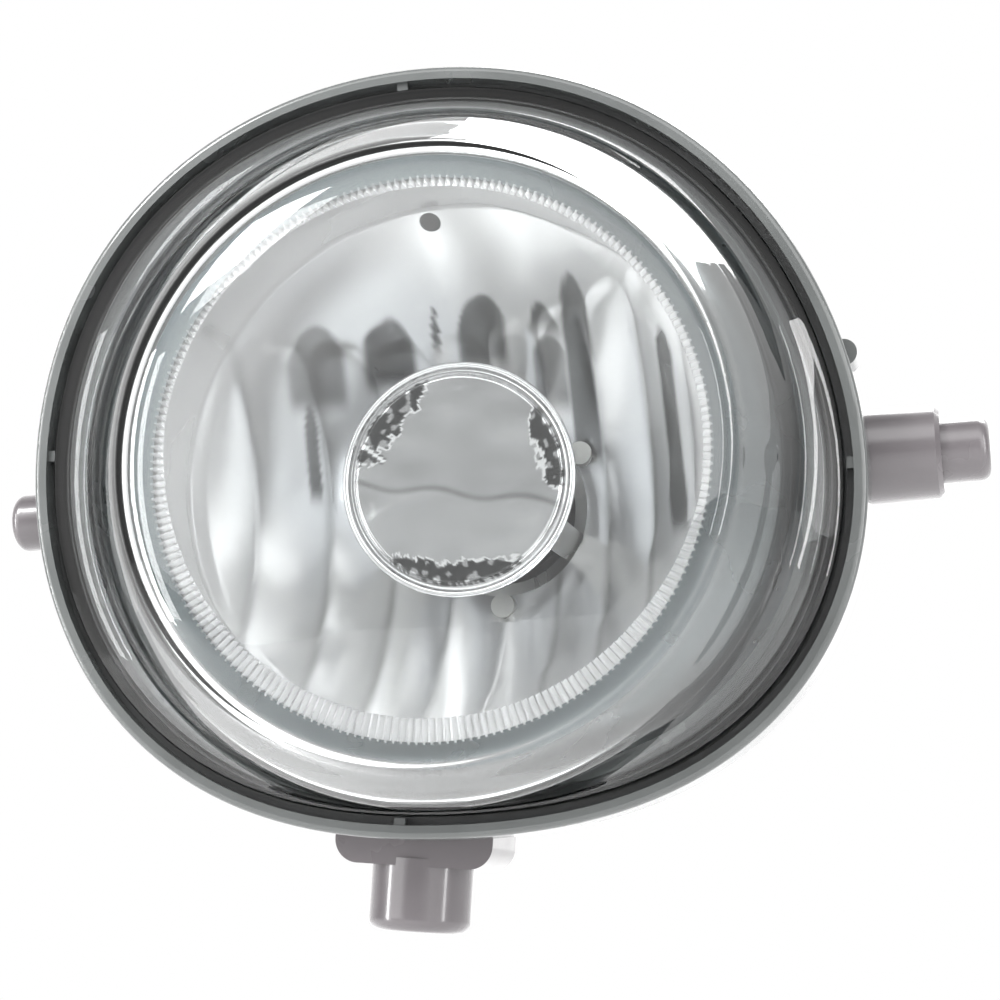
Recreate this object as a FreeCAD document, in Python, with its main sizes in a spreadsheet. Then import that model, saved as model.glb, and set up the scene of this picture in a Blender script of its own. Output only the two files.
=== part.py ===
import FreeCAD, Part
import math
import os
import Sketcher

# Front fog lamp with a clear bulging lens, a metallised reflector, a bulb shield, a twist-lock bulb and
# two aiming pivots.
#
# Lamp frame: Y runs to the rear along the optical axis, X to the right seen from the front, Z up.
# y = 0 is the front of the housing rim.  Every sub-part is drawn in the lamp frame and then placed so
# that the part's origin lies in the middle of the right-hand pivot pin, on the aiming axis.

doc = FreeCAD.newDocument("fog_lamp")
Vector = FreeCAD.Vector
Rotation = FreeCAD.Rotation

ALONG_Y = Rotation(Vector(1, 0, 0), -90)
ALONG_Z = Rotation()
CENTRE_LINE = Vector(0, 1, 0)

# ---------------------------------------------------------------- driving dimensions, mm and degrees
SIZES = {
    # rim outline: a slightly squared oval, as a radius that varies with the angle about its own centre
    "rim_radius": 52.1, "rim_centre_x": -1.8, "rim_centre_z": 2.9,
    "rim_oval": 2.2, "rim_oval_turn": -10.7,
    "rim_lobe": 0.95, "rim_lobe_turn": -29.4,
    "rim_corner": 0.6, "rim_corner_turn": -40.0,
    # rim channel, as insets from the outline
    "lip_front": -0.4, "lip_inset": 1.7, "lip_round": 0.75,
    "channel_floor": 4.2, "rim_back": 6.2,
    "dam_outer_inset": 6.9, "dam_inset": 8.4, "dam_front": 1.0,
    # housing bowl and neck
    "bowl_wall": 2.2, "bowl_front": 5.0, "bowl_front_inset": 4.4,
    "bowl_waist": 13.0, "bowl_waist_inset": 6.2,
    "bowl_shoulder": 24.0, "bowl_shoulder_radius": 35.0,
    "bowl_heel": 35.0, "bowl_heel_radius": 23.0,
    "neck_front": 40.0, "neck_radius": 15.6, "neck_back": 52.0,
    "seal_bore": 13.0, "ledge_front": 44.0, "ledge_back": 46.0, "ledge_bore": 10.0,
    "notch_radius": 12.4, "notch_half_angle": 15.0, "bulb_turn": 40.0,
    # lens
    "lens_inset": 2.8, "lens_foot": 3.6, "lens_edge": -0.6, "foot_wall": 2.2,
    "crease_radius": 43.3, "crease_front": -8.0, "crease_x": -0.8, "crease_z": 0.9,
    "face_radius": 38.7, "face_front": -16.6, "brow_radius": 36.9, "brow_front": -18.7,
    "lens_front": -21.6, "lens_wall": 2.1,
    "seal_front": 2.0,
    # reflector
    "focal": 10.0, "apex": 36.0, "mouth_radius": 35.5, "mouth_front": -11.8, "skin": 0.8,
    "bulb_hole": 11.8, "hub_back": 34.4,
    "vent_hole_radius": 1.35, "vent_hole_height": 34.3, "vent_hole_x": -2.6,
    "ear_front": 8.4, "ear_back": 10.2, "ear_pitch": 40.0, "ear_root": 5.0, "ear_radius": 3.0,
    "screw_radius": 1.4, "screw_tip": 17.0, "screw_head_radius": 2.6, "screw_head": 1.5,
    # bezel between lens and reflector
    "bezel_inner": 34.5, "bezel_face_radius": 37.3, "bezel_gap": 0.25, "bezel_front": -13.0, "bezel_base": 0.9,
    "bezel_base_inset": 8.4, "bezel_wall": 1.1,
    # bulb shield
    "shield_radius": 15.2, "shield_front": 5.0, "shield_sheet": 0.7, "shield_dish": 0.5, "shield_dome": 199.06,
    "collar_radius": 12.3, "collar_back": 10.5, "shield_bead": 0.55,
    "leg_radius": 11.5, "leg_sheet": 0.7, "leg_width": 4.2, "leg_front": 6.4,
    "bracket_radius": 15.2, "bracket_bore": 9.9, "bracket_sheet": 1.0,
    "rivet_radius": 0.9, "rivet_head_radius": 1.6, "rivet_head": 0.6, "rivet_pitch": 13.4,
    # bulb
    "glass_radius": 5.6, "glass_wall": 0.9, "glass_tip": 9.4, "glass_back": 38.0, "glass_round": 3.2,
    "nose_rise": 0.6, "nose_radius": 9.375,
    "coat": 0.3, "coat_back": 14.0,
    "coil_radius": 0.75, "coil_wire": 0.16, "coil_front": 23.6, "coil_length": 4.6, "coil_pitch": 0.65,
    "lead_radius": 0.35, "lead_offset": 2.6,
    "can_radius": 7.6, "can_front": 35.6, "can_back": 41.0,
    "plug_radius": 9.93, "plug_front": 40.0, "lug_radius": 11.9, "lug_front": 41.2, "lug_back": 43.6,
    "lug_half_angle": 12.0, "barrel_radius": 12.5, "barrel_front": 46.3, "groove_radius": 11.2,
    "ring_groove_front": 48.1, "ring_groove_back": 50.1, "ring_radius": 12.1, "ring_section": 0.85,
    "flange_radius": 16.2, "flange_front": 52.4, "flange_back": 54.6,
    "block_width": 21.0, "block_height": 22.0, "block_back": 65.0, "block_round": 2.5,
    "shroud_width": 16.4, "shroud_depth": 10.4, "shroud_end": 29.0, "shroud_wall": 1.5,
    "socket_floor": 14.0, "blade_width": 2.8, "blade_thick": 0.8, "blade_pitch": 6.4, "blade_length": 9.5,
    # aiming pivots
    "pin_centre_x": 63.0, "pin_back": 12.5, "pin_radius": 4.0, "pin_round": 1.4,
    "pin_reach_right": 66.7, "shoulder_reach": 60.7, "trunnion_root": 44.0,
    "trunnion_root_radius": 6.1, "trunnion_radius": 5.8, "trunnion_chamfer": 0.6,
    "pin_reach_left": 62.6, "left_pin_root": 47.6, "left_pin_radius": 3.8, "spigot_radius": 3.2,
    "boss_radius": 7.4, "boss_reach": 48.0, "left_boss_reach": 52.0,
    # aiming post under the housing
    "post_lean": 6.3, "post_x": -3.0, "post_radius": 6.55, "post_round": 1.6, "post_end": 57.0,
    "pad_top": 42.4, "pad_face": 48.8, "pad_width": 20.4, "pad_depth": 14.0, "pad_shift": 0.8, "pad_round": 3.0,
    "aim_boss_top": 30.0, "tenon_radius": 4.6, "tenon_length": 5.0,
    "insert_radius": 3.6, "insert_bore": 2.1, "insert_length": 9.0,
    # breather
    "nozzle_x": 15.0, "nozzle_z": 22.0, "nozzle_root": 26.0, "nozzle_end": 42.0, "nozzle_radius": 3.2,
    "nozzle_bore": 1.6, "cap_radius": 5.2, "cap_front": 36.5, "cap_back": 45.0, "membrane": 0.3,
    # small moulded features
    "index_turn": 9.6, "index_radius": 1.7, "index_inset": 0.4, "index_front": 2.4, "index_back": 7.6,
    "rib_width": 1.4, "rib_reach": 0.9, "rib_front": 0.4,
}

sheet = doc.addObject("Spreadsheet::Sheet", "sizes")
for row, (alias, value) in enumerate(SIZES.items(), start=1):
    sheet.set("A%d" % row, alias)
    sheet.set("B%d" % row, str(value))
    sheet.setAlias("B%d" % row, alias)
doc.recompute()


def size(name):
    """One driving dimension, read from the sheet."""
    return float(sheet.get(name))


def number(text):
    """Value of a sum such as "lip_front + lip_round - 0.1"."""
    total = 0.0
    sign = 1.0
    for word in text.split():
        if word in ("+", "-"):
            sign = 1.0 if word == "+" else -1.0
        else:
            total += sign * (size(word) if word in SIZES else float(word))
            sign = 1.0
    return total


def formula(text):
    """The same sum, written as an expression on the sheet's cells."""
    return " ".join("sizes." + word if word in SIZES else word for word in text.split())


# ------------------------------------------------------------------------------ building blocks
def put_in_part_frame(node, label):
    """Name a finished sub-part and move it from the lamp frame to the part's frame."""
    node.Label = label
    node.setExpression("Placement.Base.x", formula("0 - pin_centre_x"))
    node.setExpression("Placement.Base.y", formula("0 - pin_back"))
    return node


def place(node, x, y, z, rotation=ALONG_Z):
    """Put a primitive at a point given as three sums of sheet cells."""
    node.Placement = FreeCAD.Placement(Vector(), rotation)
    for letter, text in zip("xyz", (x, y, z)):
        node.setExpression("Placement.Base." + letter, formula(text))
    return node


def box(name, length, width, height, x, y, z, rotation=ALONG_Z):
    node = doc.addObject("Part::Box", name)
    node.setExpression("Length", formula(length))
    node.setExpression("Width", formula(width))
    node.setExpression("Height", formula(height))
    return place(node, x, y, z, rotation)


def fuse(name, pieces):
    node = doc.addObject("Part::MultiFuse", name)
    node.Shapes = pieces
    return node


def cut(name, base, tool):
    node = doc.addObject("Part::Cut", name)
    node.Base = base
    node.Tool = tool
    return node


def about_centre_line(shape, angle):
    """A copy of a shape, turned about the optical axis."""
    copy = shape.copy()
    copy.rotate(Vector(), CENTRE_LINE, -angle)
    return copy


def attach_to(sketch, body, role):
    plane = next(item for item in body.Origin.OriginFeatures if item.Role == role)
    sketch.AttachmentSupport = [(plane, "")]
    sketch.MapMode = "FlatFace"


def arc_middle(start, end, radius, side):
    """Middle point of an arc of the given radius that bulges to the given side of start -> end."""
    chord = end - start
    sag = radius - math.sqrt(radius ** 2 - chord.Length ** 2 / 4)
    normal = Vector(-chord.y, chord.x, 0).normalize()
    return (start + end) * 0.5 + normal * (sag * side)


def draw_profile(sketch, corners):
    """Closed profile.  A corner is (across, along), or (across, along, radius, side) to reach it by an
    arc.  Across and along are sums of cells, bound to the corner by dimensions."""
    points = [Vector(number(corner[0]), number(corner[1]), 0) for corner in corners]
    count = len(corners)
    for i in range(count):
        start = points[i]
        end = points[(i + 1) % count]
        corner = corners[(i + 1) % count]
        if len(corner) == 4:
            middle = arc_middle(start, end, number(corner[2]), corner[3])
            sketch.addGeometry(Part.Arc(start, middle, end), False)
        else:
            sketch.addGeometry(Part.LineSegment(start, end), False)
    # the arcs made from three points may run either way round, so each corner is found by its place
    ends = [[end for end in (1, 2) if sketch.getPoint(i, end).isEqual(points[i], 1e-6)][0]
            for i in range(count)]
    for i in range(count):
        before = (i - 1) % count
        sketch.addConstraint(Sketcher.Constraint("Coincident", before, 3 - ends[before], i, ends[i]))
    for i, corner in enumerate(corners):
        for kind, text, axis in (("DistanceX", corner[0], -2), ("DistanceY", corner[1], -1)):
            if text == "0":
                sketch.addConstraint(Sketcher.Constraint("PointOnObject", i, ends[i], axis))
            else:
                place_value = number(text)
                index = sketch.addConstraint(
                    Sketcher.Constraint(kind, -1, 1, i, ends[i], place_value))
                sketch.setExpression("Constraints[%d]" % index, formula(text))
        if len(corner) == 4:
            edge = (i - 1) % count
            index = sketch.addConstraint(Sketcher.Constraint("Radius", edge, number(corner[2])))
            sketch.setExpression("Constraints[%d]" % index, formula(corner[2]))


def turned(name, corners, axis="V_Axis"):
    """A body turned about the optical axis (V_Axis), or about its X axis (H_Axis)."""
    body = doc.addObject("PartDesign::Body", name)
    sketch = body.newObject("Sketcher::SketchObject", name + "_profile")
    attach_to(sketch, body, "XY_Plane")
    draw_profile(sketch, corners)
    turn = body.newObject("PartDesign::Revolution", name + "_turn")
    turn.Profile = sketch
    turn.ReferenceAxis = (sketch, [axis])
    turn.Angle = 360.0
    body.Tip = turn
    return body


def shaped(name, shape):
    """A feature whose shape is worked out here from the sheet's sizes.  A shape that has been turned or
    moved is wrapped, so that its own location stays when the feature gets its Placement."""
    node = doc.addObject("Part::Feature", name)
    node.Shape = shape if shape.Placement.isIdentity() else Part.makeCompound([shape])
    return node


# -------------------------------------------------------------------------- rim outline and lofts
OUTLINE_STEPS = 48


def rim_reach(angle):
    """Distance from the outline's own centre to the rim, at an angle in degrees."""
    reach = size("rim_radius")
    for order, name in ((2, "rim_oval"), (3, "rim_lobe"), (4, "rim_corner")):
        reach += size(name) * math.cos(math.radians(order * (angle - size(name + "_turn"))))
    return reach


def closed_wire(reach, centre_x, centre_z, y):
    """Smooth closed wire in the plane y, with its radius given as a function of the angle."""
    points = []
    for step in range(OUTLINE_STEPS):
        angle = 360.0 * step / OUTLINE_STEPS
        radius = reach(angle)
        points.append(Vector(centre_x + radius * math.cos(math.radians(angle)), y,
                             centre_z + radius * math.sin(math.radians(angle))))
    curve = Part.BSplineCurve()
    curve.interpolate(points, PeriodicFlag=True)
    return Part.Wire([curve.toShape()])


def outline(inset, y):
    return closed_wire(lambda angle: rim_reach(angle) - inset, size("rim_centre_x"),
                       size("rim_centre_z"), y)


def ring(radius, y, centre_x=0.0, centre_z=0.0):
    return closed_wire(lambda angle: radius, centre_x, centre_z, y)


def loft(wires):
    """Solid with straight flanks from each wire to the next."""
    return Part.makeLoft(wires, True, True, False)


def prism(inset, front, back):
    """Straight block inside the outline."""
    return Part.Face(outline(inset, front)).extrude(Vector(0, back - front, 0))


def rod(radius, start, end):
    """Plain round bar between two points."""
    return Part.makeCylinder(radius, (end - start).Length, start, end - start)


def sector(outer, front, back, middle_angle, half_angle):
    """Wedge of a disc about the optical axis."""
    wedge = Part.makeCylinder(outer, back - front, Vector(0, front, 0), CENTRE_LINE, 2 * half_angle)
    # makeCylinder starts the wedge in a fixed direction, found here from two thin wedges
    start = Part.makeCylinder(outer, 1, Vector(), CENTRE_LINE, 1).CenterOfMass
    start_angle = math.degrees(math.atan2(start.z, start.x))
    step = Part.makeCylinder(outer, 1, Vector(), CENTRE_LINE, 2).CenterOfMass
    growth = math.degrees(math.atan2(step.z, step.x)) - start_angle
    centre = start_angle + (2 * half_angle - 1) * growth
    return about_centre_line(wedge, middle_angle - centre)


LUG_ANGLES = (90.0, 210.0, 330.0)
EAR_ANGLES = (90.0, 215.0, 325.0)
RIB_ANGLES = (-6.0, 93.0, 176.0, 262.0)
RIVET_ANGLES = (30.0, 150.0, 270.0)
LEG_ANGLES = (90.0, 210.0, 330.0)


# --------------------------------------------------------------------------------------- housing
def post_point(distance, y_offset=0.0):
    """Point on the leaning axis of the aiming post, at a distance below the optical axis."""
    lean = math.radians(size("post_lean"))
    return Vector(size("post_x") - distance * math.sin(lean), size("pin_back") + y_offset,
                  -distance * math.cos(lean))


def post_turn():
    return Rotation(Vector(0, 1, 0), size("post_lean"))


def housing_outside():
    rim = prism(0.0, size("lip_front"), size("rim_back"))
    front_edges = [edge for edge in rim.Edges
                   if abs(edge.BoundBox.YMax - size("lip_front")) < 1e-3]
    rim = rim.makeFillet(size("lip_round"), front_edges)
    bowl = loft([outline(size("bowl_front_inset"), size("bowl_front")),
                 outline(size("bowl_waist_inset"), size("bowl_waist")),
                 ring(size("bowl_shoulder_radius"), size("bowl_shoulder")),
                 ring(size("bowl_heel_radius"), size("bowl_heel")),
                 ring(size("neck_radius") - 1.0, size("neck_front"))])
    neck = rod(size("neck_radius"), Vector(0, size("bowl_heel"), 0), Vector(0, size("neck_back"), 0))
    return rim, bowl, neck


def housing_bosses():
    """Pivot bosses, boss for the aiming post, breather nozzle and index lug."""
    y = size("pin_back")
    right = rod(size("boss_radius"), Vector(30, y, 0), Vector(size("boss_reach"), y, 0))
    left = rod(size("boss_radius"), Vector(-30, y, 0), Vector(-size("left_boss_reach"), y, 0))
    pad_width = size("pad_width") - 3
    pad_depth = size("pad_depth") - 3
    aim = Part.makeBox(pad_width, pad_depth, size("pad_top") - size("aim_boss_top"))
    aim.translate(Vector(-pad_width / 2, size("pad_shift") - pad_depth / 2, -size("pad_top")))
    aim.Placement = FreeCAD.Placement(post_point(0), post_turn()).multiply(aim.Placement)
    x = size("nozzle_x")
    z = size("nozzle_z")
    nozzle = rod(size("nozzle_radius"), Vector(x, size("nozzle_root"), z),
                 Vector(x, size("nozzle_end"), z))
    turn = math.radians(size("index_turn"))
    reach = rim_reach(size("index_turn")) - size("index_inset")
    spot = Vector(size("rim_centre_x") + reach * math.cos(turn), 0,
                  size("rim_centre_z") + reach * math.sin(turn))
    index = rod(size("index_radius"), spot + Vector(0, size("index_front"), 0),
                spot + Vector(0, size("index_back"), 0))
    return [right, left, aim, nozzle, index]


def housing_inside():
    """Everything that is hollow: the channel, the cavity, the bulb seat, the sockets of the pins."""
    channel = prism(size("lip_inset"), size("lip_front") - 1, size("channel_floor"))
    dam = prism(size("dam_outer_inset"), size("dam_front"), size("channel_floor") + 1)
    wall = size("bowl_wall")
    cavity = loft([outline(size("dam_inset"), size("dam_front") - 0.5),
                   outline(size("dam_inset"), size("bowl_front")),
                   outline(size("bowl_waist_inset") + wall + 0.2, size("bowl_waist")),
                   ring(size("bowl_shoulder_radius") - wall - 0.4, size("bowl_shoulder") - 1.0),
                   ring(size("bowl_heel_radius") - wall - 0.6, size("bowl_heel") - 1.6),
                   ring(size("seal_bore") - 0.8, size("neck_front") - 1)])
    centre = Vector(0, 1, 0)
    seat = rod(size("seal_bore"), centre * (size("bowl_heel") - 3), centre * size("ledge_front"))
    hole = rod(size("ledge_bore"), centre * size("bowl_heel"), centre * size("neck_back"))
    seal = rod(size("seal_bore"), centre * size("ledge_back"), centre * (size("neck_back") + 1))
    notches = [sector(size("notch_radius"), size("bowl_heel"), size("ledge_back") + 1,
                      angle - size("bulb_turn"), size("notch_half_angle")) for angle in LUG_ANGLES]
    return [channel.cut(dam), cavity, seat, hole, seal] + notches


def housing_sockets():
    y = size("pin_back")
    right = rod(size("trunnion_root_radius"), Vector(size("trunnion_root"), y, 0),
                Vector(size("boss_reach") + 1, y, 0))
    left = rod(size("spigot_radius"), Vector(-size("left_pin_root"), y, 0),
               Vector(-size("left_boss_reach") - 1, y, 0))
    tenon = rod(size("tenon_radius"), post_point(size("pad_top") - size("tenon_length")),
                post_point(size("pad_top") + 1))
    x = size("nozzle_x")
    z = size("nozzle_z")
    nozzle = rod(size("nozzle_bore"), Vector(x, size("nozzle_root") - 8, z),
                 Vector(x, size("nozzle_end") + 1, z))
    return [right, left, tenon, nozzle]


def screw_spot(angle, y):
    pitch = size("ear_pitch")
    return Vector(pitch * math.cos(math.radians(angle)), y, pitch * math.sin(math.radians(angle)))


def housing_shape():
    rim, bowl, neck = housing_outside()
    solid = bowl.fuse([rim, neck])
    hollow = housing_inside()
    shell = solid.fuse(housing_bosses()).cut(hollow)
    for angle in EAR_ANGLES:
        boss = rod(size("ear_radius"), screw_spot(angle, size("ear_back")), screw_spot(angle, 30.0))
        shell = shell.fuse(boss.common(bowl))
        shell = shell.cut(rod(size("screw_radius"), screw_spot(angle, size("ear_back") - 1),
                              screw_spot(angle, size("screw_tip"))))
    shell = shell.cut(housing_sockets())
    for angle in RIB_ANGLES:
        reach = rim_reach(angle) - size("lip_inset")
        rib = Part.makeBox(size("rib_reach") + 0.5, size("channel_floor") + 0.5 - size("rib_front"),
                           size("rib_width"))
        rib.translate(Vector(reach - size("rib_reach"), size("rib_front"), -size("rib_width") / 2))
        rib = about_centre_line(rib, angle)
        rib.translate(Vector(size("rim_centre_x"), 0, size("rim_centre_z")))
        shell = shell.fuse(rib)
    return shell.removeSplitter()


# ------------------------------------------------------------------------------------------ lens
def dome(radius, base, brow_radius, brow, front):
    """Round cap of the lens: a rounded shoulder and a shallow dome."""
    edge = Vector(radius, base, 0)
    shoulder = Vector(brow_radius, brow, 0)
    tip = Vector(0, front, 0)
    bend = Vector((radius + brow_radius) / 2 + 0.45, (base + brow) / 2 - 0.45, 0)
    rise = brow - front
    sphere = (brow_radius ** 2 + rise ** 2) / (2 * rise)
    crown = Vector(brow_radius / 2, front + sphere - math.sqrt(sphere ** 2 - brow_radius ** 2 / 4), 0)
    profile = Part.Wire([Part.LineSegment(Vector(0, base, 0), edge).toShape(),
                         Part.Arc(edge, bend, shoulder).toShape(),
                         Part.Arc(shoulder, crown, tip).toShape(),
                         Part.LineSegment(tip, Vector(0, base, 0)).toShape()])
    return Part.Face(profile).revolve(Vector(), CENTRE_LINE, 360)


def lens_shape():
    wall = size("lens_wall")
    skirt = loft([outline(size("lens_inset"), size("lens_foot")),
                  outline(size("lens_inset"), size("lens_edge")),
                  outline(size("lens_inset") + 0.5, size("lens_edge") - 0.5),
                  ring(size("crease_radius"), size("crease_front"), size("crease_x"), size("crease_z")),
                  ring(size("face_radius"), size("face_front"))])
    cap = dome(size("face_radius") - 0.1, size("face_front") + 0.2, size("brow_radius"),
               size("brow_front"), size("lens_front"))
    foot_inset = size("lens_inset") + size("foot_wall")
    hollow = loft([outline(foot_inset, size("lens_foot") + 1),
                   outline(foot_inset, size("lens_edge") + 0.4),
                   ring(size("crease_radius") - wall, size("crease_front") + 0.7, size("crease_x"),
                        size("crease_z")),
                   ring(size("face_radius") - wall, size("face_front") + 1.0)])
    hollow_cap = dome(size("face_radius") - wall - 0.1, size("face_front") + 1.2,
                      size("brow_radius") - 2.0, size("brow_front") + 2.0, size("lens_front") + wall)
    return skirt.fuse(cap).cut(hollow.fuse(hollow_cap))


def lens_seal_shape(lens, housing):
    """Bead of sealant that fills the floor of the channel round the foot of the lens."""
    bead = prism(size("lip_inset"), size("seal_front"), size("channel_floor"))
    bead = bead.cut(prism(size("dam_outer_inset"), 0.0, size("channel_floor") + 1))
    return bead.cut([lens, housing])


# ------------------------------------------------------------------------------------- reflector
def parabola_depth(radius):
    return size("apex") - radius ** 2 / (4 * size("focal"))


def reflector_shape():
    """Parabolic bowl with a short straight mouth, three ears and a flat hub round the bulb hole."""
    skin = size("skin")
    hole = size("bulb_hole")
    mouth = size("mouth_radius")
    steps = 8
    radii = [hole + (mouth - hole) * step / steps for step in range(steps + 1)]
    inner = [Vector(radius, parabola_depth(radius), 0) for radius in radii]
    outer = []
    for radius in radii[1:]:
        slope = math.atan(radius / (2 * size("focal")))
        outer.append(Vector(radius + skin * math.sin(slope),
                            parabola_depth(radius) + skin * math.cos(slope), 0))
    bowl_curve = Part.BSplineCurve()
    bowl_curve.interpolate(inner)
    back_curve = Part.BSplineCurve()
    back_curve.interpolate(outer)
    front = size("mouth_front")
    rim = [Vector(mouth, front, 0), Vector(mouth + skin, front, 0),
           Vector(mouth + skin, outer[-1].y - 1.0, 0), outer[-1]]
    hub = [outer[0], Vector(outer[0].x, size("hub_back"), 0), Vector(hole, size("hub_back"), 0), inner[0]]
    edges = [bowl_curve.toShape(), Part.LineSegment(inner[-1], rim[0]).toShape()]
    edges += [Part.LineSegment(a, b).toShape() for a, b in zip(rim, rim[1:])]
    edges += [back_curve.toShape()]
    edges += [Part.LineSegment(a, b).toShape() for a, b in zip(hub, hub[1:])]
    profile = Part.Wire(Part.sortEdges(edges)[0])
    bowl = Part.Face(profile).revolve(Vector(), CENTRE_LINE, 360)
    inside = Part.Face(Part.Wire(Part.sortEdges([
        bowl_curve.toShape(), Part.LineSegment(inner[-1], Vector(mouth, -30, 0)).toShape(),
        Part.LineSegment(Vector(mouth, -30, 0), Vector(0, -30, 0)).toShape(),
        Part.LineSegment(Vector(0, -30, 0), Vector(0, inner[0].y, 0)).toShape(),
        Part.LineSegment(Vector(0, inner[0].y, 0), inner[0]).toShape()])[0])).revolve(
            Vector(), CENTRE_LINE, 360)
    for angle in EAR_ANGLES:
        ear = rod(size("ear_radius"), screw_spot(angle, size("ear_front")),
                  screw_spot(angle, size("ear_back")))
        web = Part.makeBox(size("ear_pitch") - mouth + size("ear_root"), size("ear_back") - size("ear_front"),
                           2 * size("ear_radius"))
        web.translate(Vector(mouth - size("ear_root"), size("ear_front"), -size("ear_radius")))
        bowl = bowl.fuse(ear.fuse(about_centre_line(web, angle)).cut(inside))
        bowl = bowl.cut(rod(size("screw_radius"), screw_spot(angle, 0.0), screw_spot(angle, 30.0)))
    vent_height = size("vent_hole_height")
    vent = Vector(size("vent_hole_x"), parabola_depth(vent_height), vent_height)
    bowl = bowl.cut(rod(size("vent_hole_radius"), vent - Vector(0, 4, -1.5), vent + Vector(0, 8, 3)))
    for angle in RIVET_ANGLES:
        bowl = bowl.cut(rivet_shank(angle))
    return bowl


def rivet_line(angle, y):
    pitch = size("rivet_pitch")
    return Vector(pitch * math.cos(math.radians(angle)), y, pitch * math.sin(math.radians(angle)))


def rivet_front():
    return parabola_depth(size("rivet_pitch") + size("rivet_head_radius")) - 0.1


def rivet_shank(angle):
    return rod(size("rivet_radius"), rivet_line(angle, rivet_front() - 0.2),
               rivet_line(angle, size("hub_back") + size("bracket_sheet") + 0.2))


def rivet_shape(bowl):
    """Three rivets that hold the shield bracket behind the reflector's hub."""
    rivets = []
    back = size("hub_back") + size("bracket_sheet")
    for angle in RIVET_ANGLES:
        shank = rod(size("rivet_radius"), rivet_line(angle, rivet_front()), rivet_line(angle, back))
        head = rod(size("rivet_head_radius"), rivet_line(angle, rivet_front() - size("rivet_head")),
                   rivet_line(angle, parabola_depth(size("rivet_pitch"))))
        tail = rod(size("rivet_head_radius"), rivet_line(angle, back),
                   rivet_line(angle, back + size("rivet_head")))
        rivets.append(shank.fuse([head.cut(bowl), tail]))
    return Part.makeCompound(rivets)


def reflector_screws_shape():
    screws = []
    for angle in EAR_ANGLES:
        shank = rod(size("screw_radius"), screw_spot(angle, size("ear_front") - 0.5),
                    screw_spot(angle, size("screw_tip")))
        head = rod(size("screw_head_radius"), screw_spot(angle, size("ear_front") - size("screw_head")),
                   screw_spot(angle, size("ear_front")))
        slot = Part.makeBox(0.7, 0.8, 3.6, screw_spot(angle, size("ear_front") - size("screw_head"))
                            - Vector(0.35, 0.1, 1.8))
        cross = Part.makeBox(3.6, 0.8, 0.7, screw_spot(angle, size("ear_front") - size("screw_head"))
                             - Vector(1.8, 0.1, 0.35))
        screws.append(shank.fuse(head).cut([slot, cross]))
    return Part.makeCompound(screws)


def bezel_shape():
    """Metallised trim that covers the gap between the reflector and the channel."""
    wall = size("bezel_wall")
    outside = loft([outline(size("bezel_base_inset"), size("bezel_base")),
                    ring(size("bezel_face_radius"), size("bezel_front"))])
    inside = loft([outline(size("bezel_base_inset") + wall, size("bezel_base") + 0.1),
                   ring(size("bezel_face_radius") - wall + 0.2, size("bezel_front") + wall)])
    hole = rod(size("bezel_inner"), Vector(0, size("bezel_front") - 1, 0),
               Vector(0, size("bezel_front") + 2 * wall, 0))
    reflector_room = rod(size("mouth_radius") + size("skin") + size("bezel_gap"),
                         Vector(0, size("mouth_front") - 0.1, 0), Vector(0, 10, 0))
    return outside.cut([inside, hole, reflector_room])


# ----------------------------------------------------------------------------------- bulb shield
def make_shield_cap():
    """Spun cap with a rolled edge and a collar at the back."""
    corners = [
        ("0", "shield_front - shield_dish"),
        ("shield_radius - shield_bead - shield_bead", "shield_front", "shield_dome", -1),
        ("shield_radius - shield_bead", "shield_front - shield_bead", "shield_bead", -1),
        ("shield_radius", "shield_front", "shield_bead", -1),
        ("shield_radius - shield_bead", "shield_front + shield_sheet"),
        ("collar_radius", "shield_front + shield_sheet"),
        ("collar_radius", "collar_back"),
        ("collar_radius - shield_sheet", "collar_back"),
        ("collar_radius - shield_sheet", "shield_front + shield_sheet"),
        ("0", "shield_front + shield_sheet - 0.1"),
    ]
    return turned("shield_cap_body", corners)


def shield_bracket_shape():
    """Ring behind the reflector with three legs that reach forward into the collar of the cap."""
    back = size("hub_back") + size("bracket_sheet")
    disc = rod(size("bracket_radius"), Vector(0, size("hub_back"), 0), Vector(0, back, 0))
    disc = disc.cut(rod(size("bracket_bore"), Vector(0, 0, 0), Vector(0, 60, 0)))
    tube = rod(size("leg_radius"), Vector(0, size("leg_front"), 0), Vector(0, back, 0))
    tube = tube.cut(rod(size("leg_radius") - size("leg_sheet"), Vector(), Vector(0, 60, 0)))
    legs = []
    for angle in LEG_ANGLES:
        strip = Part.makeBox(20, 60, size("leg_width"), Vector(0, 0, -size("leg_width") / 2))
        legs.append(tube.common(about_centre_line(strip, angle)))
    return disc.fuse(legs).cut([rivet_shank(angle) for angle in RIVET_ANGLES])


# ------------------------------------------------------------------------------------------ bulb
def make_glass():
    corners = [
        ("0", "glass_tip"),
        ("glass_radius - glass_round + glass_wall", "glass_tip + nose_rise", "nose_radius", -1),
        ("glass_radius", "glass_tip + glass_round", "glass_round", -1),
        ("glass_radius", "glass_back"),
        ("0", "glass_back"),
        ("0", "glass_back - 6.5"),
        ("glass_radius - glass_wall", "glass_back - 8.5"),
        ("glass_radius - glass_wall", "glass_tip + glass_round + 0.3"),
        ("glass_radius - glass_round", "glass_tip + glass_wall + 0.7", "glass_round", 1),
        ("0", "glass_tip + glass_wall + 0.4"),
    ]
    return turned("bulb_glass_body", corners)


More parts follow.
